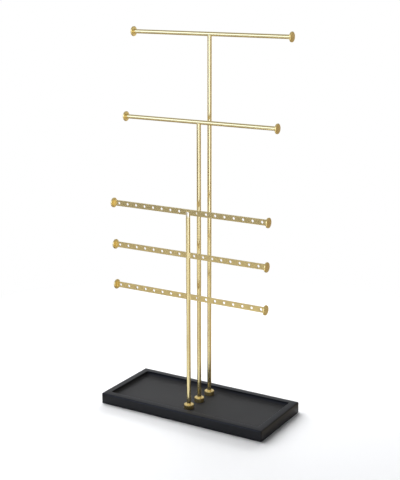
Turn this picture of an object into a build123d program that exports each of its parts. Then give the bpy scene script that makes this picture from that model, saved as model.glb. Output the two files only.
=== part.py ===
from build123d import *
import os

# Tiered jewelry organizer: a rimmed black tray with three brass posts in a row from front to back.
# The tall and the middle post each carry a round rod, the short one three perforated earring bars.
# Millimetres. +X runs along the tray and the bars, the front is at -Y and +Z is up.
# The origin is the middle of the footprint, on the surface that the stand rests on.

# Tray: a board routed from both sides, rounded and lacquered
tray_length = 237.6
tray_depth = 105.4
rim_width = 7.0
recess_depth = 5.2
floor_thickness = 3.2
tray_corner_radius = 2.0
tray_edge_radius = 1.6
tray_foot_radius = 0.3
recess_corner_radius = 1.5
recess_edge_radius = 0.5

# Steel plate and foam pad, let into the underside of the tray
plate_length = 180.0
plate_border = 12.0
plate_thickness = 3.0
plate_corner_radius = 4.0
pad_inset = 6.0
pad_thickness = 3.0
pad_proud = 0.3
pad_corner_radius = 5.0
pocket_clearance = 0.2

# Posts, which stand in collars and turn in the tray's floor
post_diameter = 5.4
post_spacing = 26.1
post_tip_radius = 0.6
post_tip_rise = 0.8
post_foot_chamfer = 0.4
post_foot_gap = 0.3
turning_clearance = 0.1
collar_diameter = 12.6
collar_height = 5.6
collar_edge_radius = 0.6

# Rods and earring bars: heights of their middle lines, and reaches from the post to the caps' outer faces
rod_diameter = 5.4
top_rod_height = 479.9
top_rod_reach = 112.5
second_rod_height = 375.2
second_rod_reach = 108.7
upper_bar_height = 267.5
upper_bar_reach = 111.9
middle_bar_height = 213.0
middle_bar_reach = 110.5
lower_bar_height = 159.3
lower_bar_reach = 109.8
bar_width = 7.4
bar_thickness = 1.5
bar_edge_radius = 0.3
hole_diameter = 3.4
hole_pitch = 12.8
near_first_hole = 8.6
hole_margin = 4.0

# End caps, brazed on with a shallow socket each
cap_diameter = 12.6
cap_thickness = 2.4
cap_edge_radius = 0.8
cap_socket_depth = 1.0
braze_gap = 0.05

# Fixings: one button-head screw and one plain washer for each post
screw_diameter = 3.0
screw_engagement = 8.0
screw_head_diameter = 5.7
screw_head_height = 1.65
screw_key_width = 2.0
screw_key_depth = 1.0
thread_clearance = 0.05
thread_run_out = 2.0
washer_diameter = 7.0
washer_thickness = 0.5
access_clearance = 1.0

# How far a cut runs past the face that it opens
overrun = 1.0

# Shares: how far a cope reaches up a rod, how round a screw head is, how much of a wall an edge may take
cope_share = 0.5
screw_dome_share = 0.75
edge_limit_share = 0.45

# Levels, from the resting surface upwards
tray_bottom = pad_proud
pad_top = pad_thickness
plate_top = pad_top + plate_thickness
floor_top = plate_top + floor_thickness
rim_top = floor_top + recess_depth
collar_top = floor_top + collar_height
post_foot = plate_top + post_foot_gap
washer_bottom = pad_top - washer_thickness
screw_head_bottom = washer_bottom - screw_head_height
screw_tip = post_foot + screw_engagement
thread_top = screw_tip + thread_run_out

# Places of the posts, from front to back
short_post_y = -post_spacing
middle_post_y = 0
tall_post_y = post_spacing
plate_depth = tall_post_y - short_post_y + 2 * plate_border


def upright(diameter, z_low, z_high, y):
    """Round bar along Z on the plane of the posts, from one level to another."""
    bottom_aligned = (Align.CENTER, Align.CENTER, Align.MIN)
    return Pos(0, y, z_low) * Cylinder(diameter / 2, z_high - z_low, align=bottom_aligned)


def board(length, depth, corner_radius, z_low, z_high):
    """Flat board with rounded corners, centred over the origin, from one level to another."""
    outline = Pos(0, 0, z_low) * RectangleRounded(length, depth, corner_radius)
    return extrude(outline, z_high - z_low)


def level_circles(shape, lowest):
    """The circular edges at the lowest or the highest level of a shape."""
    levels = shape.edges().filter_by(GeomType.CIRCLE).group_by(Axis.Z)
    return levels[0] if lowest else levels[-1]


def make_tray():
    """Rimmed tray: recess above, stepped pocket for pad and plate below, and a hole for each post."""
    tray = board(tray_length, tray_depth, tray_corner_radius, tray_bottom, rim_top)
    tray = fillet(tray.faces().sort_by(Axis.Z)[-1].outer_wire().edges(), tray_edge_radius)
    tray = fillet(tray.faces().sort_by(Axis.Z)[0].outer_wire().edges(), tray_foot_radius)
    recess_length = tray_length - 2 * rim_width
    recess_width = tray_depth - 2 * rim_width
    tray -= board(recess_length, recess_width, recess_corner_radius, floor_top, rim_top + overrun)
    recess_edge = tray.faces().sort_by(Axis.Z)[-1].inner_wires()[0].edges()
    tray = fillet(recess_edge, recess_edge_radius)
    pad_pocket_length = tray_length - 2 * pad_inset
    pad_pocket_width = tray_depth - 2 * pad_inset
    tray -= board(pad_pocket_length, pad_pocket_width, pad_corner_radius, tray_bottom - overrun, pad_top)
    plate_pocket_length = plate_length + 2 * pocket_clearance
    plate_pocket_width = plate_depth + 2 * pocket_clearance
    plate_pocket_radius = plate_corner_radius + pocket_clearance
    tray -= board(plate_pocket_length, plate_pocket_width, plate_pocket_radius, tray_bottom, plate_top)
    for y in (short_post_y, middle_post_y, tall_post_y):
        tray -= upright(post_diameter + 2 * turning_clearance, plate_top - overrun, floor_top + overrun, y)
    return tray


def make_backing_plate():
    """Steel plate under the floor, with a clearance hole for each screw."""
    plate = board(plate_length, plate_depth, plate_corner_radius, pad_top, plate_top)
    for y in (short_post_y, middle_post_y, tall_post_y):
        plate -= upright(screw_diameter + 2 * turning_clearance, pad_top - overrun, plate_top + overrun, y)
    return plate


def make_base_pad():
    """Foam pad that the stand rests on, with an access hole round each screw head."""
    inset = pad_inset + pocket_clearance
    radius = pad_corner_radius - pocket_clearance
    pad = board(tray_length - 2 * inset, tray_depth - 2 * inset, radius, 0, pad_top)
    for y in (short_post_y, middle_post_y, tall_post_y):
        pad -= upright(washer_diameter + 2 * access_clearance, -overrun, pad_top + overrun, y)
    return pad


def make_plain_post(y, top):
    """Round post with a chamfered foot and a blind threaded bore, which is plain here."""
    post = upright(post_diameter, post_foot, top, y)
    post = chamfer(level_circles(post, lowest=True), post_foot_chamfer)
    post -= upright(screw_diameter + 2 * thread_clearance, post_foot - overrun, thread_top, y)
    return post


def make_coped_post(y, rod_height):
    """Post whose top is coped to a saddle under its rod, with the thin horns of the saddle trimmed."""
    post = make_plain_post(y, rod_height - cope_share * rod_diameter / 2)
    return post - lying(rod_diameter + 2 * braze_gap, collar_diameter, 0, y, rod_height)


def make_short_post():
    """Post with a slot in its rounded tip, in which the upper earring bar stands proud by half its width."""
    tip = upper_bar_height + post_tip_rise
    post = make_plain_post(short_post_y, tip)
    post = fillet(level_circles(post, lowest=False), post_tip_radius)
    slot_depth = tip - upper_bar_height + bar_width / 2 + braze_gap
    slot = Box(post_diameter + 2 * overrun, bar_thickness + 2 * braze_gap, 2 * slot_depth)
    return post - Pos(0, short_post_y, tip) * slot


def make_collar(y):
    """Turned collar, brazed round a post, whose flat underside bears on the tray's floor."""
    collar = upright(collar_diameter, floor_top, collar_top, y)
    collar = fillet(level_circles(collar, lowest=False), collar_edge_radius)
    return collar - upright(post_diameter + 2 * braze_gap, floor_top - overrun, collar_top + overrun, y)


def make_screw(y):
    """Button-head screw from below, with a hexagon socket in its head."""
    head = upright(screw_head_diameter, screw_head_bottom, washer_bottom, y)
    head = fillet(level_circles(head, lowest=True), screw_dome_share * screw_head_height)
    shank = upright(screw_diameter, washer_bottom, screw_tip, y)
    key_outline = Pos(0, y, screw_head_bottom) * RegularPolygon(screw_key_width / 2, 6, major_radius=False)
    return head + shank - extrude(key_outline, screw_key_depth)


def make_washer(y):
    """Plain washer between a screw head and the backing plate."""
    washer = upright(washer_diameter, washer_bottom, pad_top, y)
    hole_size = screw_diameter + 2 * turning_clearance
    return washer - upright(hole_size, washer_bottom - overrun, pad_top + overrun, y)


def lying(diameter, length, x, y, z):
    """Round bar along X, given by its middle."""
    return Pos(x, y, z) * Rot(0, 90, 0) * Cylinder(diameter / 2, length)


def seat_end(reach):
    """How far a rod or a bar runs from its post, into the sockets of its caps."""
    return reach - cap_thickness + cap_socket_depth - braze_gap


def make_rod(y, height, reach):
    """Round cross rod in one length over its post."""
    return lying(rod_diameter, 2 * seat_end(reach), 0, y, height)


def make_half_bar(side, height, reach, first_hole, in_slot):
    """Flat strip on edge with a row of holes for earrings.

    It meets its other half in the slot of the short post, or is coped to the side of that post."""
    inner_end = braze_gap / 2
    length = seat_end(reach) - inner_end
    strip = Pos(side * (inner_end + length / 2), short_post_y, height) * Box(length, bar_thickness, bar_width)
    strip = fillet(strip.edges().filter_by(Axis.X), bar_edge_radius)
    if not in_slot:
        strip -= upright(post_diameter + 2 * braze_gap, height - bar_width, height + bar_width, short_post_y)
    hole = Rot(90, 0, 0) * Cylinder(hole_diameter / 2, bar_thickness + 2 * overrun)
    hole_x = first_hole
    while hole_x < reach - cap_thickness - hole_margin:
        strip -= Pos(side * hole_x, short_post_y, height) * hole
        hole_x += hole_pitch
    return strip


def make_cap(side, y, height, reach, socket):
    """Turned disc with rounded edges, and a socket in its inner face for a rod or a bar."""
    disc = lying(cap_diameter, cap_thickness, side * (reach - cap_thickness / 2), y, height)
    edge_radius = min(cap_edge_radius, edge_limit_share * cap_thickness)
    disc = fillet(disc.edges().filter_by(GeomType.CIRCLE), edge_radius)
    return disc - Pos(side * (reach - cap_thickness), y, height) * socket


rod_socket = lying(rod_diameter + 2 * braze_gap, 2 * cap_socket_depth, 0, 0, 0)
bar_socket = Box(2 * cap_socket_depth, bar_thickness + 2 * braze_gap, bar_width + 2 * braze_gap)

pieces = {
    "tray": make_tray(),
    "backing_plate": make_backing_plate(),
    "base_pad": make_base_pad(),
    "tall_post": make_coped_post(tall_post_y, top_rod_height),
    "middle_post": make_coped_post(middle_post_y, second_rod_height),
    "short_post": make_short_post(),
}

# Each post's collar, screw and washer
for post_name, post_y in (("tall", tall_post_y), ("middle", middle_post_y), ("short", short_post_y)):
    pieces[post_name + "_post_collar"] = make_collar(post_y)
    pieces[post_name + "_post_screw"] = make_screw(post_y)
    pieces[post_name + "_post_washer"] = make_washer(post_y)

# The two rods with their caps
rods = (
    ("top_rod", tall_post_y, top_rod_height, top_rod_reach),
    ("second_rod", middle_post_y, second_rod_height, second_rod_reach),
)
for rod_name, rod_y, rod_height, rod_reach in rods:
    pieces[rod_name] = make_rod(rod_y, rod_height, rod_reach)
    for side, side_name in ((-1, "left"), (1, "right")):
        cap_name = rod_name + "_" + side_name + "_cap"
        pieces[cap_name] = make_cap(side, rod_y, rod_height, rod_reach, rod_socket)

# The three earring bars, each a left and a right half with its cap; the upper one sits in the post's slot.
# Holes start one pitch from the post, but nearer to it on the right half of the middle bar.
bars = (
    ("upper_bar", upper_bar_height, upper_bar_reach, hole_pitch, True),
    ("middle_bar", middle_bar_height, middle_bar_reach, near_first_hole, False),
    ("lower_bar", lower_bar_height, lower_bar_reach, hole_pitch, False),
)
for bar_name, bar_z, bar_reach, right_first_hole, in_slot in bars:
    for side, side_name, first_hole in ((-1, "left", hole_pitch), (1, "right", right_first_hole)):
        half_name = bar_name + "_" + side_name
        pieces[half_name] = make_half_bar(side, bar_z, bar_reach, first_hole, in_slot)
        pieces[half_name + "_cap"] = make_cap(side, short_post_y, bar_z, bar_reach, bar_socket)

os.makedirs("parts", exist_ok=True)
for piece_name, piece in pieces.items():
    export_step(piece, "parts/" + piece_name + ".step")
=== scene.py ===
import math

import bmesh
import bpy
import numpy as np
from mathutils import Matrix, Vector


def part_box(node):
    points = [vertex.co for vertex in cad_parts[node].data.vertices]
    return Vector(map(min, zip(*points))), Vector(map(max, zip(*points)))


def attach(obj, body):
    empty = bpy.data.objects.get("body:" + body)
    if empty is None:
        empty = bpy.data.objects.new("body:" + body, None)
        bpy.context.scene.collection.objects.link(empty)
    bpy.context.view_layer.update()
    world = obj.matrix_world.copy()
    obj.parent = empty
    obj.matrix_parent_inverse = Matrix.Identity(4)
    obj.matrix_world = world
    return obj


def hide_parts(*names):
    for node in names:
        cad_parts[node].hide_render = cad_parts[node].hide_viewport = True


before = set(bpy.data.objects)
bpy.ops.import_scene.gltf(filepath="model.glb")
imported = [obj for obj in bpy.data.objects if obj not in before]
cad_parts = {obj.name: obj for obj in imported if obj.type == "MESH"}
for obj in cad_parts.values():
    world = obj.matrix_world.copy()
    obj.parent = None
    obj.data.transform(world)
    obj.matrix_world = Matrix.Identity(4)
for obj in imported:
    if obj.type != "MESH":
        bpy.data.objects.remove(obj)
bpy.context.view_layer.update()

# Tray: a board routed to a shallow coved recess above and a stepped pocket below, with rounded edges.
# It is sprayed with satin black lacquer, and the plate, the pad and the posts are fixed to it.
tray_corner = 0.0020
tray_edge = 0.0016
tray_foot = 0.0003
rim_width = 0.0096
rim_rise = 0.00015
rim_fall = 0.00025
rim_steps = 6
recess_corner = 0.0020
recess_lip = 0.0005
recess_cove = 0.0038
sharpest_turn = 0.0001
cove_painted_light_power = 0.35
pocket_room = 0.0002
pad_pocket_corner = 0.0050
plate_pocket_corner = 0.0042
corner_steps = 8
merge_distance = 0.000001
lacquer_deep = (0.0022, 0.0029, 0.0050, 1.0)
lacquer_soft = (0.0038, 0.0047, 0.0072, 1.0)
lacquer_worn_and_highlight = (0.0062, 0.0070, 0.0092, 1.0)
lacquer_floor_and_cove_light = (0.0235, 0.0235, 0.0240, 1.0)
lacquer_cloud_scale = 22.0
lacquer_peel_scale = 1300.0
lacquer_peel_height = 0.00004
lacquer_peel_strength = 0.25
lacquer_roughness = 0.36
lacquer_mottle = 0.06
lacquer_edge_gloss = 0.12
lacquer_floor_dullness = 0.30
lacquer_specular = 0.28


def quarter(radius, steps=6):
    """Two lengths along a quarter round: how far it has come in, radius (1 - cos), and up, radius sin."""
    turn = np.linspace(0, np.pi / 2, steps + 1)
    return radius * (1 - np.cos(turn)), radius * np.sin(turn)


def rounded_loops(half_u, half_v, corner, level):
    """Rounded rectangles, one for each row: a quarter circle about each corner's centre, straight between.

    Row i has half sizes half_u[i] and half_v[i], the radius corner[i] and the height level[i]."""
    columns = [np.atleast_1d(np.asarray(size, float)) for size in (half_u, half_v, corner, level)]
    half_u, half_v, corner, level = (column[:, None] for column in np.broadcast_arrays(*columns))
    turn = np.linspace(0, np.pi / 2, corner_steps + 1)
    angle = np.concatenate([turn + quadrant * np.pi / 2 for quadrant in range(4)])
    u = np.repeat([1, -1, -1, 1], len(turn)) * (half_u - corner) + corner * np.cos(angle)
    v = np.repeat([1, 1, -1, -1], len(turn)) * (half_v - corner) + corner * np.sin(angle)
    loops = np.stack([u, v, level + 0 * u], -1)
    return np.concatenate([loops, loops[:, :1]], 1)


def skin(name, grids, marks=None, sharp_degrees=40.0):
    """Mesh piece from grids of points: each cell of a grid is a quad, and points that coincide are merged.

    Merging closes seams and poles. A mark is a number for every point, which a finish can read."""
    starts = np.cumsum([0] + [grid.shape[0] * grid.shape[1] for grid in grids])
    quads = []
    for start, grid in zip(starts, grids):
        index = start + np.arange(grid.shape[0] * grid.shape[1]).reshape(grid.shape[:2])
        corners = [index[:-1, :-1], index[:-1, 1:], index[1:, 1:], index[1:, :-1]]
        quads.append(np.stack(corners, -1).reshape(-1, 4))
    mesh = bpy.data.meshes.new(name)
    points = np.concatenate([grid.reshape(-1, 3) for grid in grids])
    mesh.from_pydata(points, [], np.concatenate(quads).tolist())
    for mark, values in (marks or {}).items():
        layer = mesh.attributes.new(mark, "FLOAT", "POINT")
        numbers = np.concatenate([value.ravel() for value in values])
        layer.data.foreach_set("value", numbers.astype(np.float32))
    shape = bmesh.new()
    shape.from_mesh(mesh)
    bmesh.ops.remove_doubles(shape, verts=shape.verts, dist=merge_distance)
    bmesh.ops.recalc_face_normals(shape, faces=shape.faces)
    shape.to_mesh(mesh)
    shape.free()
    mesh.shade_smooth()
    mesh.set_sharp_from_angle(angle=math.radians(sharp_degrees))
    piece = bpy.data.objects.new(name, mesh)
    bpy.context.scene.collection.objects.link(piece)
    piece.modifiers.new("even_shading", "WEIGHTED_NORMAL").keep_sharp = True
    return piece


def fit(piece, body, slot, finish, *nodes):
    """Gives a piece its finish and its body, and hides the CAD nodes that it stands for. Its slot is not
    used.
    """
    piece.data.materials.append(finish)
    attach(piece, body)
    if nodes:
        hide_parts(*nodes)


class Shade:
    """One socket of a node tree. Sums and products with sockets or numbers add Math nodes."""

    def __init__(self, tree, socket):
        self.tree = tree
        self.socket = socket

    def node(self, kind, settings, inputs, output=0):
        """Adds a node of any kind: its settings first, then a link or a value for each input."""
        made = self.tree.nodes.new("ShaderNode" + kind)
        for name, value in settings.items():
            setattr(made, name, value)
        for key, value in inputs.items():
            if isinstance(value, Shade):
                self.tree.links.new(value.socket, made.inputs[key])
            else:
                made.inputs[key].default_value = value
        return Shade(self.tree, made.outputs[output])

    def math(self, operation, first, second):
        """Adds a Math node on two sockets or numbers."""
        return self.node("Math", {"operation": operation}, {0: first, 1: second})

    def __add__(self, other):
        return self.math("ADD", self, other)

    def __mul__(self, other):
        return self.math("MULTIPLY", self, other)

    def __sub__(self, other):
        return self.math("SUBTRACT", self, other)

    def __rsub__(self, other):
        return self.math("SUBTRACT", other, self)

    __radd__ = __add__
    __rmul__ = __mul__

    def tint(self, low, high):
        """Colour that goes from low to high, sockets or colours, as this value goes from 0 to 1."""
        return self.node("Mix", {"data_type": "RGBA"}, {0: self, 6: low, 7: high}, 2)

    def noise(self, scale, detail=2.0):
        """Cloudy value from 0 to 1 at this place, with so many clouds to the metre."""
        return self.node("TexNoise", {}, {"Vector": self, "Scale": scale, "Detail": detail})

    def feed(self, node, name):
        """Links this socket to an input of a node."""
        self.tree.links.new(self.socket, node.inputs[name])


def new_finish(name):
    """A material with its Principled shader and the piece's own coordinates."""
    material = bpy.data.materials.new(name)
    material.use_nodes = True
    tree = material.node_tree
    shader = tree.nodes["Principled BSDF"]
    return material, shader, Shade(tree, tree.nodes.new("ShaderNodeTexCoord").outputs["Object"])


def black_lacquer():
    """Satin black lacquer with cloudy colour and a fine orange peel.

    Its edges are rubbed paler and glossier, and that paler tone is also a painted highlight line along
    them.
    The floor, which is less polished, is paler and duller."""
    material, shader, place = new_finish("black_lacquer")
    cloud = place.noise(lacquer_cloud_scale, detail=3.0)
    peel = place.noise(lacquer_peel_scale)
    edge = place.node("Attribute", {"attribute_name": "edge"}, {}, "Fac")
    floor = place.node("Attribute", {"attribute_name": "floor"}, {}, "Fac")
    colour = cloud.tint(lacquer_deep, lacquer_soft)
    # Wear and painted highlight: the edge mark turns the colour paler, for rubbed edges and for the thin
    # highlight line along them.
    rubbed_and_highlit = (edge * cloud).tint(colour, lacquer_worn_and_highlight)
    # Painted light as well: where the floor mark reaches up the cove, its paler tone lifts the shade at the
    # wall's foot.
    floor.tint(rubbed_and_highlit, lacquer_floor_and_cove_light).feed(shader, "Base Color")
    roughness = cloud * lacquer_mottle + peel * lacquer_mottle + lacquer_roughness
    (roughness - edge * lacquer_edge_gloss + floor * lacquer_floor_dullness).feed(shader, "Roughness")
    bump = place.node("Bump", {}, {
        "Strength": lacquer_peel_strength, "Distance": lacquer_peel_height, "Height": peel})
    bump.feed(shader, "Normal")
    shader.inputs["Specular IOR Level"].default_value = lacquer_specular
    return material


def make_tray():
    """Rounded rectangles stacked into a closed shell: pocket below, wall, rim, coved recess and floor.

    The rim falls outwards with the square of the distance from its inner edge. The edge mark is the sine of
    twice the turn round each rounded edge, 1 in its middle and 0 on the flats, and places rubbed wear and a
    painted highlight line. The floor mark is 1 on the floor and grows over the cove with a power of the way
    down, so that the cove takes the floor's paler tone as painted light over the shade at the wall's foot."""
    low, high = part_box("tray")
    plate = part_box("backing_plate")[1] + Vector((pocket_room, pocket_room, 0))
    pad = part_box("base_pad")[1] + Vector((pocket_room, pocket_room, 0))
    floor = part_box("tall_post_collar")[0].z
    foot_in, foot_up = quarter(tray_foot)
    edge_in, edge_up = quarter(tray_edge)
    lip_in, lip_up = quarter(recess_lip)
    cove_in, cove_up = quarter(recess_cove)
    wall = np.concatenate([foot_in[::-1], edge_in])
    wall_level = np.concatenate([
        low.z + tray_foot - foot_up[::-1], high.z + rim_rise - rim_fall - tray_edge + edge_up])
    across = np.linspace(0, 1, rim_steps + 1)[1:-1]
    rim = tray_edge + (rim_width - recess_lip - tray_edge) * across
    rim_level = high.z + rim_rise - rim_fall * (1 - across) ** 2
    rim_corner = tray_corner - tray_edge + (recess_corner + recess_lip + tray_edge - tray_corner) * across
    recess = rim_width + np.concatenate([-lip_in[::-1], cove_in])
    recess_level = np.concatenate([
        high.z + rim_rise - recess_lip + lip_up[::-1], floor + recess_cove - cove_up])
    inset = np.concatenate([wall, rim, recess])
    level = np.concatenate([wall_level, rim_level, recess_level])
    recess_turn = np.maximum(recess_corner + rim_width - recess, sharpest_turn)
    corner = np.concatenate([tray_corner - wall, rim_corner, recess_turn])
    pocket = np.concatenate([
        rounded_loops(plate.x - plate.y, 0, 0, plate.z),
        rounded_loops(plate.x, plate.y, plate_pocket_corner, np.array([plate.z, pad.z])),
        rounded_loops(pad.x, pad.y, pad_pocket_corner, np.array([pad.z, low.z])),
    ])
    outside = rounded_loops(high.x - inset, high.y - inset, corner, level)
    shell = np.concatenate([pocket, outside, rounded_loops(high.x - high.y, 0, 0, floor)])
    rounding = np.sin(2 * np.linspace(0, np.pi / 2, len(edge_in)))
    blank = np.zeros(len(edge_in))
    along = np.concatenate([np.zeros(len(pocket)), blank, rounding, 0 * rim, rounding, blank, [0]])
    around = np.append(np.tile(np.sin(2 * np.linspace(0, np.pi / 2, corner_steps + 1)), 4), 0)
    upright = np.zeros(len(shell))
    upright[len(pocket):len(pocket) + len(blank) + 1] = 1
    edge = np.maximum(along[:, None], upright[:, None] * around[None, :])
    # Painted light: the floor mark climbs the cove fast, so the paler floor tone lifts the shade at the
    # foot of the wall.
    cove_painted_light = np.linspace(0, 1, len(cove_in)) ** cove_painted_light_power
    floor_share_with_cove_light = np.concatenate([np.zeros(len(shell) - len(cove_in) - 1), cove_painted_light, [1]])
    floor_mark_with_cove_light = floor_share_with_cove_light[:, None] + 0 * edge
    return skin("tray_shell", [shell], {"edge": [edge], "floor": [floor_mark_with_cove_light]})


fit(make_tray(), "base", "black_lacquer", black_lacquer(), "tray")

# Backing plate: a zinc plated sheet, cut with rounded corners and bonded into the pocket under the floor.
# The posts are drawn down against it, and its weight keeps the stand upright.
zinc_grey = (0.40, 0.41, 0.42, 1.0)
zinc_bright = (0.55, 0.56, 0.57, 1.0)
zinc_spangle_scale = 160.0
zinc_spangle_dullness = 0.15
plate_roughness = 0.40


def zinc(name, roughness):
    """Zinc plate: angular spangles of two greys, each with its own gloss."""
    material, shader, place = new_finish(name)
    spangle = place.node("TexVoronoi", {}, {"Vector": place, "Scale": zinc_spangle_scale}, "Color")
    flake = spangle.node("SeparateColor", {}, {0: spangle})
    flake.tint(zinc_grey, zinc_bright).feed(shader, "Base Color")
    (flake * zinc_spangle_dullness + roughness).feed(shader, "Roughness")
    shader.inputs["Metallic"].default_value = 1.0
    return material


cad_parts["backing_plate"].data.materials[0] = zinc("plate_steel", plate_roughness)

# Collars: short turned rings of brass, soldered round each post near its foot.
# Their flat undersides bear on the tray's floor, and a thread of solder fills the corner with the post.
collar_edge = 0.0006
collar_foot = 0.0002
collar_solder = 0.0005
turned_brass_deep = (0.78, 0.60, 0.230, 1.0)
turned_brass_pale = (0.88, 0.70, 0.300, 1.0)
turned_sides = 64
turned_roughness = 0.20
turned_cloud_scale = 90.0
turned_ring_scale = 7000.0
turned_ring_height = 0.000014
turned_ring_strength = 0.4
turned_ring_dullness = 0.16


def turned(radius, along):
    """Turned shape: each pair of the profile, a radius and a place along the axis, swept once round."""
    angle = np.linspace(0, 2 * np.pi, turned_sides + 1)
    radius, along = np.asarray(radius)[:, None], np.asarray(along)[:, None]
    return np.stack([radius * np.cos(angle), radius * np.sin(angle), along + 0 * angle], -1)


def turned_brass():
    """Brass from the lathe: fine rings that follow the tool over face and side, and cloudy colour."""
    material, shader, place = new_finish("cap_brass")
    travel = place.node("Attribute", {"attribute_name": "travel"}, {}, "Fac")
    rings = place.node("TexNoise", {"noise_dimensions": "1D"}, {
        "W": travel * turned_ring_scale, "Detail": 2.0})
    cloud = place.noise(turned_cloud_scale)
    (cloud * 0.5 + rings * 0.5).tint(turned_brass_deep, turned_brass_pale).feed(shader, "Base Color")
    (rings * turned_ring_dullness + turned_roughness).feed(shader, "Roughness")
    bump = place.node("Bump", {}, {
        "Strength": turned_ring_strength, "Distance": turned_ring_height, "Height": rings})
    bump.feed(shader, "Normal")
    shader.inputs["Metallic"].default_value = 1.0
    return material


cap_brass = turned_brass()
post_bodies = {"tall": "tall_tee", "middle": "middle_tee", "short": "earring_rack"}
post_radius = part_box("tall_post")[1].x


def make_collar(node):
    """Closed ring about the post's axis: solder, top, rounded edge, side, foot and bore.

    The tool's travel is the radius less the height, so it grows outwards over the top and down the side."""
    low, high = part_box(node)
    solder_in, solder_up = quarter(collar_solder)
    edge_in, edge_up = quarter(collar_edge)
    radius = np.concatenate([
        post_radius + solder_in, high.x - edge_in[::-1],
        [high.x, high.x - collar_foot, post_radius, post_radius]])
    level = np.concatenate([
        high.z + collar_solder - solder_up, high.z - collar_edge + edge_up[::-1],
        [low.z + collar_foot, low.z, low.z, high.z + collar_solder]])
    middle = (low + high) / 2
    ring = turned(radius, level) + (middle.x, middle.y, 0)
    return skin(node + "_brass", [ring], {"travel": [np.repeat(radius - level, turned_sides + 1)]})


for post, body in post_bodies.items():
    node = post + "_post_collar"
    fit(make_collar(node), body, "cap_brass", cap_brass, node)

# Posts: drawn brass rod with a satin plate, bored and tapped from below.
# The tall and the middle one are coped under their rods and flare into them with solder; the short one has
# a rounded tip with a slot, in which the upper earring bar is brazed with pale silver solder. That pale
# solder colour, which runs down the tip, is also a painted highlight there.
post_foot_chamfer = 0.0004
post_tip = 0.0006
slot_room = 0.00002
solder_flare = 0.0009
tip_solder_highlight_reach = 0.0030
cheek_steps = 24
flank_steps = 6
satin_brass_deep = (0.86, 0.720, 0.365, 1.0)
satin_brass_pale = (0.93, 0.790, 0.415, 1.0)
silver_solder_and_highlight = (0.95, 0.90, 0.77, 1.0)
post_grain = (2500.0, 2500.0, 25.0)
post_coat = 0.1
post_metal = 0.86
post_edge_tint = (0.80, 0.68, 0.48, 1.0)
plain_tint = (1.0, 1.0, 1.0, 1.0)
satin_roughness = 0.13
satin_streak_height = 0.000002
brass_cloud_scale = 45.0
brass_streak_strength = 0.06
brass_streak_dullness = 0.08
brass_cloud_dullness = 0.02
brass_coat_roughness = 0.12
brass_coat_ior = 1.9


def drawn_brass(name, deep, pale, grain, roughness, streak_height, coat, metal=1.0, edge_tint=plain_tint):
    """Brass drawn or brushed one way: stretched noise marks its colour, gloss and fine scratches.

    The grain is the number of streaks to the metre along X, Y and Z. A metal share under 1 and an edge tint
    soften the reflections, a clear coat sharpens them, and the solder mark shows where pale solder covers
    it, whose colour is also a painted highlight on the short post's tip."""
    material, shader, place = new_finish(name)
    stretched = place.node("VectorMath", {"operation": "MULTIPLY"}, {0: place, 1: grain})
    streak = stretched.noise(1.0, detail=3.0)
    cloud = place.noise(brass_cloud_scale)
    solder_and_highlight = place.node("Attribute", {"attribute_name": "solder_and_highlight"}, {}, "Fac")
    # Painted highlight: the pale solder colour also stands in for the bright highlight on the short post's
    # tip.
    solder_and_highlight.tint((streak * 0.5 + cloud * 0.5).tint(deep, pale), silver_solder_and_highlight).feed(shader, "Base Color")
    (streak * brass_streak_dullness + cloud * brass_cloud_dullness + roughness).feed(shader, "Roughness")
    bump = place.node("Bump", {}, {
        "Strength": brass_streak_strength, "Distance": streak_height, "Height": streak})
    bump.feed(shader, "Normal")
    shader.inputs["Metallic"].default_value = metal
    shader.inputs["Specular Tint"].default_value = edge_tint
    shader.inputs["Coat Weight"].default_value = coat
    shader.inputs["Coat Roughness"].default_value = brass_coat_roughness
    shader.inputs["Coat IOR"].default_value = brass_coat_ior
    return material


post_brass = drawn_brass(
    "post_brass", satin_brass_deep, satin_brass_pale, post_grain, satin_roughness, satin_streak_height,
    post_coat, post_metal, post_edge_tint)


def make_coped_post(post, rod):
    """Round post under a rod: at the angle a its top is at the rod's height less R |cos a|.

    The last stretch flares out along the rod in a concave quarter round, as wide as flare |cos a|."""
    low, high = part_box(post)
    rod_low, rod_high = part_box(rod)
    angle = np.linspace(0, 2 * np.pi, turned_sides + 1)
    x, y = post_radius * np.cos(angle), post_radius * np.sin(angle)
    top = (rod_low.z + rod_high.z) / 2 - np.abs(x)
    flare = solder_flare * np.abs(np.cos(angle))
    flare_out, flare_up = quarter(1.0)
    chamfered = 1 - post_foot_chamfer / post_radius
    foot = [(0 * x, 0 * y, low.z + 0 * x), (chamfered * x, chamfered * y, low.z + 0 * x),
            (x, y, low.z + post_foot_chamfer + 0 * x)]
    crown = [
        (x + np.sign(x) * flare * out, y, top - flare * (1 - up)) for out, up in zip(flare_out, flare_up)]
    close = [(0 * x, 0 * y, top.min() + 0 * x)]
    grid = np.stack([np.stack(row, -1) for row in foot + crown + close])
    return skin(post + "_brass", [grid + (0, (low.y + high.y) / 2, 0)])


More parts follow.
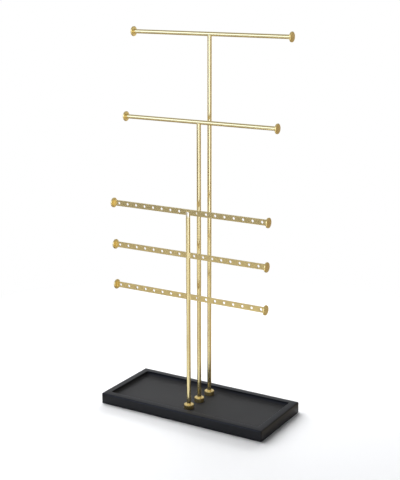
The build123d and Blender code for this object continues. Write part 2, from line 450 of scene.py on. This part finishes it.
def make_short_post():
    """Round post up to the slot, and above it two cheeks with rounded tips, before and behind the bar.

    A cheek is the stretch of a ring of radius r with |y| over half the slot, h: its angles run from
    asin(h / r) to pi less that. The slot's walls and floor join on at the same points. The solder mark
    grows evenly from 0 at its reach below the slot to 1 at the slot's floor; its pale colour paints in the
    highlight on the tip."""
    low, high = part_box("short_post")
    bar_low, bar_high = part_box("upper_bar_left")
    half_slot = (bar_high.y - bar_low.y) / 2 + slot_room
    slot_floor = bar_low.z - slot_room
    share = np.linspace(0, 1, cheek_steps + 1)
    flank = math.asin(half_slot / post_radius) * np.linspace(-1, 1, flank_steps + 1)
    cheek = flank[-1] + (np.pi - 2 * flank[-1]) * share
    angle = np.concatenate([cheek, np.pi + flank[1:], np.pi + cheek[1:], flank[1:]])
    stem_radius = np.array([
        0, post_radius - post_foot_chamfer, post_radius, post_radius, post_radius])[:, None]
    stem_level = np.array([
        low.z, low.z, low.z + post_foot_chamfer, slot_floor - tip_solder_highlight_reach, slot_floor])[:, None]
    stem = np.stack([stem_radius * np.cos(angle), stem_radius * np.sin(angle), stem_level + 0 * angle], -1)
    tip_in, tip_up = quarter(post_tip)
    radius = np.insert(post_radius - tip_in, 0, post_radius)[:, None]
    level = np.insert(high.z - post_tip + tip_up, 0, slot_floor)[:, None]
    start = np.arcsin(half_slot / radius)
    turn = start + (np.pi - 2 * start) * share
    x, y, z = radius * np.cos(turn), radius * np.sin(turn), level + 0 * turn
    wall = np.stack([x, 0 * y + half_slot, z], -1)
    outer = np.concatenate([np.stack([x, y, z], -1), wall[-1:]])
    side_x = np.cos(flank[:, None]) * np.cos(cheek) / np.cos(cheek[0])
    side_y = np.sin(flank[:, None]) + 0 * side_x
    floor = np.stack([post_radius * side_x, post_radius * side_y, slot_floor + 0 * side_x], -1)
    grids = [stem, floor, outer, wall, outer * (-1, -1, 1), wall * (-1, -1, 1)]
    # Painted highlight: the pale solder colour on the tip stands in for the bright highlight there.
    solder_and_highlight = [np.clip((grid[..., 2] - slot_floor) / tip_solder_highlight_reach + 1, 0, 1) for grid in grids]
    placed = [grid + (0, (low.y + high.y) / 2, 0) for grid in grids]
    return skin("short_post_brass", placed, {"solder_and_highlight": solder_and_highlight})


fit(make_coped_post("tall_post", "top_rod"), "tall_tee", "satin_brass", post_brass, "tall_post")
fit(make_coped_post("middle_post", "second_rod"), "middle_tee", "satin_brass", post_brass, "middle_post")
fit(make_short_post(), "earring_rack", "satin_brass", post_brass, "short_post")

# Rods: drawn brass as in the posts, a little deeper in colour and under a clear coat, cut to length.
# They lie across the coped tops of the tall and the middle post, with their ends in the caps' sockets.
rod_brass_deep = (0.71, 0.575, 0.225, 1.0)
rod_brass_pale = (0.79, 0.650, 0.275, 1.0)
rod_grain = (25.0, 2500.0, 2500.0)
rod_coat = 1.0
rod_bodies = {"top_rod": "tall_tee", "second_rod": "middle_tee"}
rod_brass = drawn_brass(
    "rod_brass", rod_brass_deep, rod_brass_pale, rod_grain, satin_roughness, satin_streak_height, rod_coat)


def lying(grid, x, y, z):
    """Turns a shape made about Z to lie along X, with its start at a point."""
    return np.stack([x + grid[..., 2], y + grid[..., 0], z + grid[..., 1]], -1)


def make_rod(rod):
    """Plain round rod with flat ends."""
    low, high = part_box(rod)
    radius = (high.z - low.z) / 2
    length = high.x - low.x
    grid = turned([0, radius, radius, 0], [0, 0, length, length])
    return skin(rod + "_brass", [lying(grid, low.x, (low.y + high.y) / 2, (low.z + high.z) / 2)])


for rod, body in rod_bodies.items():
    fit(make_rod(rod), body, "satin_brass", rod_brass, rod)

# Earring bars: brass strip on edge, punched with a row of holes, deburred and brushed along its length.
# The halves of the upper bar meet in the short post's slot. The others butt against the post, where a bead
# of solder runs round their ends.
hole_radius = 0.0017
hole_pitch = 0.0128
near_first_hole = 0.0086
hole_margin = 0.0040
strip_edge = 0.0003
strip_solder = 0.0007
cell_side_steps = 6
cell_length_steps = 8
free_corner_steps = 5
brushed_brass_deep = (0.61, 0.468, 0.190, 1.0)
brushed_brass_pale = (0.72, 0.562, 0.242, 1.0)
bar_grain = (40.0, 3200.0, 3200.0)
bar_coat = 0.05
brushed_roughness = 0.27
brushed_streak_height = 0.000004
bar_brass = drawn_brass(
    "bar_brass", brushed_brass_deep, brushed_brass_pale, bar_grain, brushed_roughness,
    brushed_streak_height, bar_coat)


def spread(low, high, near, middle_steps):
    """Places from low to high, crowded at both ends: the near distances from each end, even in between."""
    between = np.linspace(low + near[-1], high - near[-1], middle_steps + 1)[1:-1]
    return np.concatenate([low + near, between, high - near[::-1]])


def holed_sheet(u_low, u_high, half_v, holes, radius, thickness, edge, corner=0.0):
    """Grids of a flat sheet with a row of round holes, each in a cell of its own, as (u, v, w) points.

    Rays run from a hole's rim to points round its cell's border. At the distance d from the nearest free
    edge the half thickness is t / 2 - e + sqrt(e^2 - (e - d)^2), so that edges are rounded. With a corner
    radius the ends are free edges too, and the square of each corner is drawn in to a quarter disc."""
    near = quarter(edge)[0]
    along_near = near
    if corner:
        along_near = np.concatenate([near, np.linspace(edge, corner, free_corner_steps + 1)[1:]])
    side_v = spread(-half_v, half_v, along_near, cell_side_steps)
    middle_u, half_u = (u_low + u_high) / 2, (u_high - u_low) / 2
    holes = np.asarray(holes)
    cuts = np.concatenate([[u_low], (holes[:-1] + holes[1:]) / 2, [u_high]])
    grids = []
    for number, hole in enumerate(holes):
        left, right = cuts[number], cuts[number + 1]
        side_u = spread(left, right, along_near, cell_length_steps)
        border_u = np.concatenate([0 * side_v + right, side_u[::-1], 0 * side_v + left, side_u])
        border_v = np.concatenate([side_v, 0 * side_u + half_v, side_v[::-1], 0 * side_u - half_v])
        ray = np.hypot(border_u - hole, border_v)
        reach = ray - radius
        inner = edge + (reach - 2 * edge) * np.array([[1 / 3], [2 / 3]])
        step = np.concatenate([near[:, None] + 0 * reach, inner, reach - near[::-1, None]])
        u = hole + (border_u - hole) / ray * (radius + step)
        v = border_v / ray * (radius + step)
        free = np.minimum(step, half_v - np.abs(v))
        if corner:
            free = np.minimum(free, half_u - np.abs(u - middle_u))
            over_u = np.maximum(np.abs(u - middle_u) - half_u + corner, 0)
            over_v = np.maximum(np.abs(v) - half_v + corner, 0)
            pull = 1 - np.maximum(over_u, over_v) / np.maximum(np.hypot(over_u, over_v), edge * edge)
            u = u - np.sign(u - middle_u) * over_u * pull
            v = v - np.sign(v) * over_v * pull
        drop = np.maximum(edge - free, 0)
        w = thickness / 2 - edge + np.sqrt(np.maximum(edge * edge - drop * drop, 0))
        front = np.stack([u, v, w], -1)
        back = front * (1, 1, -1)
        count_v, count_u = len(side_v), len(side_u)
        sides = [slice(count_v, count_v + count_u), slice(2 * count_v + count_u, None)]
        if number == 0:
            sides.append(slice(count_v + count_u, 2 * count_v + count_u))
        if number == len(holes) - 1:
            sides.append(slice(0, count_v))
        grids += [front, back, np.stack([front[0], back[0]])]
        grids += [np.stack([front[-1, side], back[-1, side]]) for side in sides]
    return grids


def bead(half_u, half_v, corner, size):
    """Ring of solder round a bar's end: a concave quarter round that shrinks onto the bar as it rises.

    Rows are rounded rectangles larger than the bar by size (1 - sin t), at the height size (1 - cos t)."""
    rise, shrink = quarter(size)
    loops = rounded_loops(half_u + size - shrink, half_v + size - shrink, corner + size - shrink, rise)
    return np.concatenate([loops, rounded_loops(half_u, half_v, corner, 0), loops[:1]])


def make_half_bar(bar, side, first_hole):
    """Holed strip up to its cap's inner face, from its inner end or, if that is coped, from the post."""
    low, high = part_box(bar)
    cap_low, cap_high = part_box(bar + "_cap")
    thickness, half_height = high.y - low.y, (high.z - low.z) / 2
    inner = min(abs(low.x), abs(high.x))
    start = inner if bar.startswith("upper") else math.sqrt(post_radius ** 2 - thickness ** 2 / 4)
    end = min(abs(cap_low.x), abs(cap_high.x))
    holes = np.arange(first_hole, end - hole_margin, hole_pitch)
    grids = holed_sheet(start, end, half_height, holes, hole_radius, thickness, strip_edge)
    middle = (low + high) / 2
    placed = [np.stack([side * g[..., 0], middle.y + g[..., 2], middle.z + g[..., 1]], -1) for g in grids]
    return skin(bar + "_brass", placed)


def make_post_solder():
    """Four beads where half bars butt against the short post: x is the post's surface plus the rise."""
    grids = []
    for bar in ("middle_bar", "lower_bar"):
        low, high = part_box(bar + "_left")
        middle = (low + high) / 2
        ring = bead((high.y - low.y) / 2, (high.z - low.z) / 2, strip_edge, strip_solder)
        y, z, rise = ring[..., 0], ring[..., 1], ring[..., 2]
        x = np.sqrt(post_radius ** 2 - y ** 2) + rise
        grids += [np.stack([side * x, middle.y + y, middle.z + z], -1) for side in (-1, 1)]
    return skin("short_post_solder", grids)


right_first_holes = {"upper_bar": hole_pitch, "middle_bar": near_first_hole, "lower_bar": hole_pitch}
bars = []
for bar, right_first_hole in right_first_holes.items():
    bars += [(bar + "_left", -1, hole_pitch), (bar + "_right", 1, right_first_hole)]
for bar, side, first_hole in bars:
    fit(make_half_bar(bar, side, first_hole), "earring_rack", "brushed_brass", bar_brass, bar)
fit(make_post_solder(), "earring_rack", "satin_brass", post_brass)

# End caps: turned brass discs with rounded edges and a faint crown.
# They are socketed and soldered onto the ends of the rods and bars.
cap_edge = 0.0008
cap_crown = 0.00012
cap_crown_steps = 4
cap_solder = 0.0005


def cap_profile(thickness, disc_radius, hub_radius):
    """Radius and depth from the middle of the inner face, over the edge, to the middle of the crowned face.

    With a hub radius the profile starts at the bottom of a socket and climbs over a bead of solder."""
    edge_in, edge_up = quarter(cap_edge)
    crown = np.linspace(disc_radius - cap_edge, 0, cap_crown_steps + 1)
    radius = np.concatenate([
        disc_radius - cap_edge + edge_up, disc_radius - edge_in, crown[1:]])
    depth = np.concatenate([
        edge_in, thickness - cap_crown - cap_edge + edge_up,
        thickness - cap_crown * (crown[1:] / crown[0]) ** 2])
    if not hub_radius:
        return np.insert(radius, 0, 0), np.insert(depth, 0, 0)
    solder_in, solder_up = quarter(cap_solder)
    socket = thickness / 2
    hub = np.concatenate([[0, hub_radius], hub_radius + solder_in])
    hub_depth = np.concatenate([[socket, socket], solder_up - cap_solder])
    return np.concatenate([hub, radius]), np.concatenate([hub_depth, depth])


def make_cap(node, side, hub_radius, bar=None):
    """Cap from its inner face outwards; on a bar the bead round the strip is a ring of its own.

    The tool's travel is the radius plus the depth, so it grows over the inner face and along the edge."""
    low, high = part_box(node)
    middle = (low + high) / 2
    inner = low.x if side > 0 else high.x
    radius, depth = cap_profile(high.x - low.x, (high.z - low.z) / 2, hub_radius)
    disc = turned(radius, depth) * (1, 1, side)
    grids = [lying(disc, inner, middle.y, middle.z)]
    travel = [np.repeat(radius + depth, turned_sides + 1)]
    if bar:
        bar_low, bar_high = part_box(bar)
        ring = bead((bar_high.y - bar_low.y) / 2, (bar_high.z - bar_low.z) / 2, strip_edge, cap_solder)
        grids.append(np.stack([
            inner - side * ring[..., 2], middle.y + ring[..., 0], middle.z + ring[..., 1]], -1))
        travel.append(np.zeros(ring.shape[:2]))
    return skin(node + "_brass", grids, {"travel": travel})


for rod, body in rod_bodies.items():
    for side, side_name in ((-1, "left"), (1, "right")):
        node = rod + "_" + side_name + "_cap"
        fit(make_cap(node, side, post_radius), body, "cap_brass", cap_brass, node)
for bar, side, first_hole in bars:
    node = bar + "_cap"
    fit(make_cap(node, side, 0, bar), "earring_rack", "cap_brass", cap_brass, node)

# Screws and washers: zinc plated button-head screws, which draw the posts down from under the plate.
# A turned washer under each head slides on the plate when its post is swivelled.
washer_bore = 0.0016
washer_edge = 0.0001
washer_room = 0.00002
screw_roughness = 0.25
screw_zinc = zinc("screw_steel", screw_roughness)


def make_washer(node):
    """Flat ring about the screw: a rounded rectangle between bore and rim, swept once round."""
    low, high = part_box(node)
    middle = (low + high) / 2
    top = high.z - washer_room
    half_wide = (high.x - middle.x - washer_bore) / 2
    outline = rounded_loops(half_wide, (top - low.z) / 2, washer_edge, 0)[0]
    ring = turned(washer_bore + half_wide + outline[:, 0], (top + low.z) / 2 + outline[:, 1])
    return skin(node + "_ring", [ring + (middle.x, middle.y, 0)])


for post, body in post_bodies.items():
    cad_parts[post + "_post_screw"].data.materials[0] = screw_zinc
    node = post + "_post_washer"
    fit(make_washer(node), body, "screw_steel", screw_zinc, node)

# Base pad: a sheet of black foam with soft edges, bonded into the underside last of all, with a hole that
# gives access to each screw. The stand rests on it.
foam_edge = 0.0007
foam_corner = 0.0048
foam_hole = 0.0045
foam_black_and_dent_shade = (0.008, 0.008, 0.008, 1.0)
foam_grey = (0.022, 0.022, 0.022, 1.0)
foam_cell_scale = 1500.0
foam_cell_height = 0.0002
foam_cell_strength = 0.6
foam_roughness = 0.85
foam_cloud_scale = 60.0
foam_cloud_dullness = 0.10
foam_specular = 0.2


def foam():
    """Closed-cell foam: small round cells that dent the surface, painted darker inside as shade in the
    dents.
    """
    material, shader, place = new_finish("pad_foam")
    cell = place.node("TexVoronoi", {}, {"Vector": place, "Scale": foam_cell_scale}, "Distance")
    # Painted shade: the colour darkens towards each cell's middle, the bottom of its dent.
    cell.tint(foam_black_and_dent_shade, foam_grey).feed(shader, "Base Color")
    (place.noise(foam_cloud_scale) * foam_cloud_dullness + foam_roughness).feed(shader, "Roughness")
    bump = place.node("Bump", {}, {
        "Strength": foam_cell_strength, "Distance": foam_cell_height, "Height": cell})
    bump.feed(shader, "Normal")
    shader.inputs["Specular IOR Level"].default_value = foam_specular
    return material


def make_pad():
    """Holed sheet lying flat: its row of holes runs from front to back under the posts."""
    low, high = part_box("base_pad")
    holes = [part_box(post + "_post_collar") for post in ("short", "middle", "tall")]
    places = [(hole_low.y + hole_high.y) / 2 for hole_low, hole_high in holes]
    grids = holed_sheet(low.y, high.y, high.x, places, foam_hole, high.z - low.z, foam_edge, foam_corner)
    middle = (low.z + high.z) / 2
    return skin("base_pad_foam", [np.stack([g[..., 1], g[..., 0], middle + g[..., 2]], -1) for g in grids])


pad = make_pad()
fit(pad, "base", "pad_foam", foam(), "base_pad")

# Studio: a pale floor that runs out to a white sweep, with a large window at the left and a lamp behind,
# which leave the shadow in front and to the right. Only reflections see the rest: cool softboxes in front
# draw the bright lines on the brass, and toned cards out of the picture give it its darker edges.
floor_size = 30.0
floor_albedo = 0.85
white_start = 0.30
white_full = 0.6
world_fill = 0.06
sweep_top = 0.32
ceiling_start = 0.50
ceiling_grey = 0.50
daylight = (0.97, 0.98, 1.0)
window_blue = (0.47, 0.60, 1.0)
card_height = 0.0015


def shown(tree):
    """1 for the rays that show a surface: to the camera, in a reflection or through glass."""
    path = tree.nodes.new("ShaderNodeLightPath")
    kinds = ("Is Camera Ray", "Is Glossy Ray", "Is Transmission Ray")
    direct, mirrored, through = (Shade(tree, path.outputs[kind]) for kind in kinds)
    return direct + mirrored + through


def stage_plane(name, corners, material):
    """Flat four-cornered stage piece, which isn't part of the object."""
    mesh = bpy.data.meshes.new(name)
    mesh.from_pydata(corners, [], [(0, 1, 2, 3)])
    mesh.materials.append(material)
    plane = bpy.data.objects.new(name, mesh)
    bpy.context.scene.collection.objects.link(plane)
    return plane


def studio_floor():
    """Pale floor that keeps the shadow, and further out is white to the eye and in reflections."""
    half = floor_size / 2
    material, shader, place = new_finish("studio_floor")
    tree = material.node_tree
    shader.inputs["Base Color"].default_value = (floor_albedo, floor_albedo, floor_albedo, 1)
    shader.inputs["Roughness"].default_value = 1.0
    shader.inputs["Specular IOR Level"].default_value = 0.0
    seen = shown(tree)
    white = place.node("Emission", {}, {"Strength": seen})
    reach = place.node("VectorMath", {"operation": "LENGTH"}, {0: place}, "Value")
    far = place.node("MapRange", {"interpolation_type": "SMOOTHSTEP"}, {
        "Value": reach, "From Min": white_start, "From Max": white_full})
    sweep = place.node("MixShader", {}, {0: far * seen, 1: Shade(tree, shader.outputs[0]), 2: white})
    sweep.feed(tree.nodes["Material Output"], "Surface")
    corners = [(-half, -half, 0), (half, -half, 0), (half, half, 0), (-half, half, 0)]
    stage_plane("studio_floor", corners, material)


def studio_world():
    """White for every ray that shows, dimmed from the top of the sweep to a grey ceiling.

    The rays that light the object get a plain fill."""
    world = bpy.data.worlds.new("studio_world")
    world.use_nodes = True
    bpy.context.scene.world = world
    tree = world.node_tree
    toward = Shade(tree, tree.nodes.new("ShaderNodeTexCoord").outputs["Generated"])
    height = toward.node("SeparateXYZ", {}, {0: toward}, "Z")
    sweep = height.node("MapRange", {"interpolation_type": "SMOOTHSTEP"}, {
        "Value": height, "From Min": sweep_top, "From Max": ceiling_start,
        "To Min": 1.0, "To Max": ceiling_grey})
    seen = shown(tree)
    (seen * (sweep - world_fill) + world_fill).feed(tree.nodes["Background"], "Strength")
    tree.nodes["Background"].inputs["Color"].default_value = (1, 1, 1, 1)


def softbox(name, place, aim, width, height, watts, colour, mirrored=True, lights=True):
    """Rectangular area lamp that faces a point; it can stay out of reflections, or be seen only in them."""
    lamp = bpy.data.lights.new(name, "AREA")
    lamp.shape = "RECTANGLE"
    lamp.size = width
    lamp.size_y = height
    lamp.energy = watts
    lamp.color = colour
    stand = bpy.data.objects.new(name, lamp)
    stand.location = place
    stand.rotation_euler = (Vector(aim) - Vector(place)).to_track_quat("-Z", "Y").to_euler()
    stand.visible_camera = False
    stand.visible_glossy = mirrored
    stand.visible_diffuse = lights
    bpy.context.scene.collection.objects.link(stand)


def tone_card(name, colour, corners):
    """Toned card that only reflections see."""
    material, shader, place = new_finish(name)
    tree = material.node_tree
    glow = place.node("Emission", {}, {"Color": (*colour, 1)})
    glow.feed(tree.nodes["Material Output"], "Surface")
    card = stage_plane(name, corners, material)
    card.visible_camera = False
    card.visible_diffuse = False
    card.visible_shadow = False


def floor_card(name, colour, first, last):
    """Toned card that lies just over the floor, from one corner to the other."""
    (x0, y0), (x1, y1) = first, last
    corners = [(x0, y0), (x1, y0), (x1, y1), (x0, y1)]
    tone_card(name, colour, [(x, y, card_height) for x, y in corners])


def flag(name, colour, first, last, height):
    """Upright toned card on the floor, from one point to another."""
    (x0, y0), (x1, y1) = first, last
    tone_card(name, colour, [(x0, y0, 0), (x1, y1, 0), (x1, y1, height), (x0, y0, height)])


studio_floor()
studio_world()
softbox(
    "left_window", place=(-1.4, 0.40, 1.5), aim=(0, 0, 0), width=2.2, height=2.2, watts=76.0,
    colour=daylight, mirrored=False)
softbox(
    "back_lamp", place=(-0.6, 2.2, 0.8), aim=(0, 0, 0.1), width=2.2, height=1.2, watts=88.0,
    colour=daylight, mirrored=False)
softbox(
    "cool_window", place=(-0.77, -1.30, 0.78), aim=(0, 0, 0.30), width=0.9, height=1.4, watts=8.6,
    colour=window_blue, lights=False)
softbox(
    "front_strip", place=(0.50, -0.74, 0.26), aim=(0, 0, 0.26), width=0.40, height=0.50, watts=1.24,
    colour=window_blue, lights=False)
flag("right_flag", colour=(0.42, 0.35, 0.28), first=(0.24, 0.53), last=(0.75, 0.53), height=0.50)
flag("side_flag", colour=(0.42, 0.35, 0.28), first=(0.75, 0.53), last=(0.75, -0.30), height=0.50)
tone_card("back_flag", colour=(0.10, 0.10, 0.10), corners=[
    (-0.6, 2.0, 0.62), (1.4, 2.0, 0.62), (1.4, 2.0, 1.9), (-0.6, 2.0, 1.9)])
flag("left_flag", colour=(0.50, 0.46, 0.40), first=(-0.60, 0.40), last=(-0.60, -0.35), height=0.50)
floor_card("front_card", colour=(0.12, 0.11, 0.10), first=(-1.9, -1.95), last=(-0.22, -0.76))
flag("front_flag", colour=(0.18, 0.165, 0.15), first=(-1.9, -1.25), last=(-0.2, -1.95), height=0.60)
floor_card("right_card", colour=(0.52, 0.46, 0.38), first=(0.125, -0.30), last=(0.75, 0.53))
floor_card("left_card", colour=(0.36, 0.30, 0.22), first=(-0.60, -0.30), last=(-0.125, 0.53))
floor_card("back_card", colour=(0.44, 0.38, 0.29), first=(-0.125, 0.06), last=(0.125, 0.53))

# Camera: the photograph's view, from the front right and a little above.
# It was fitted to the tray's corners, the lines of posts and bars, and the middles of the caps.
camera_sensor = 36.0
camera_lens = 80.25
camera_place = (0.66568, -1.11853, 0.56356)
camera_degrees = (90 - 14.516, 0.08, 30.68)
view = bpy.data.cameras.new("photo_camera")
view.sensor_width = camera_sensor
view.lens = camera_lens
camera = bpy.data.objects.new("photo_camera", view)
camera.location = camera_place
camera.rotation_euler = [math.radians(turn) for turn in camera_degrees]
bpy.context.scene.collection.objects.link(camera)
bpy.context.scene.camera = camera
bpy.context.scene.view_settings.view_transform = "Standard"
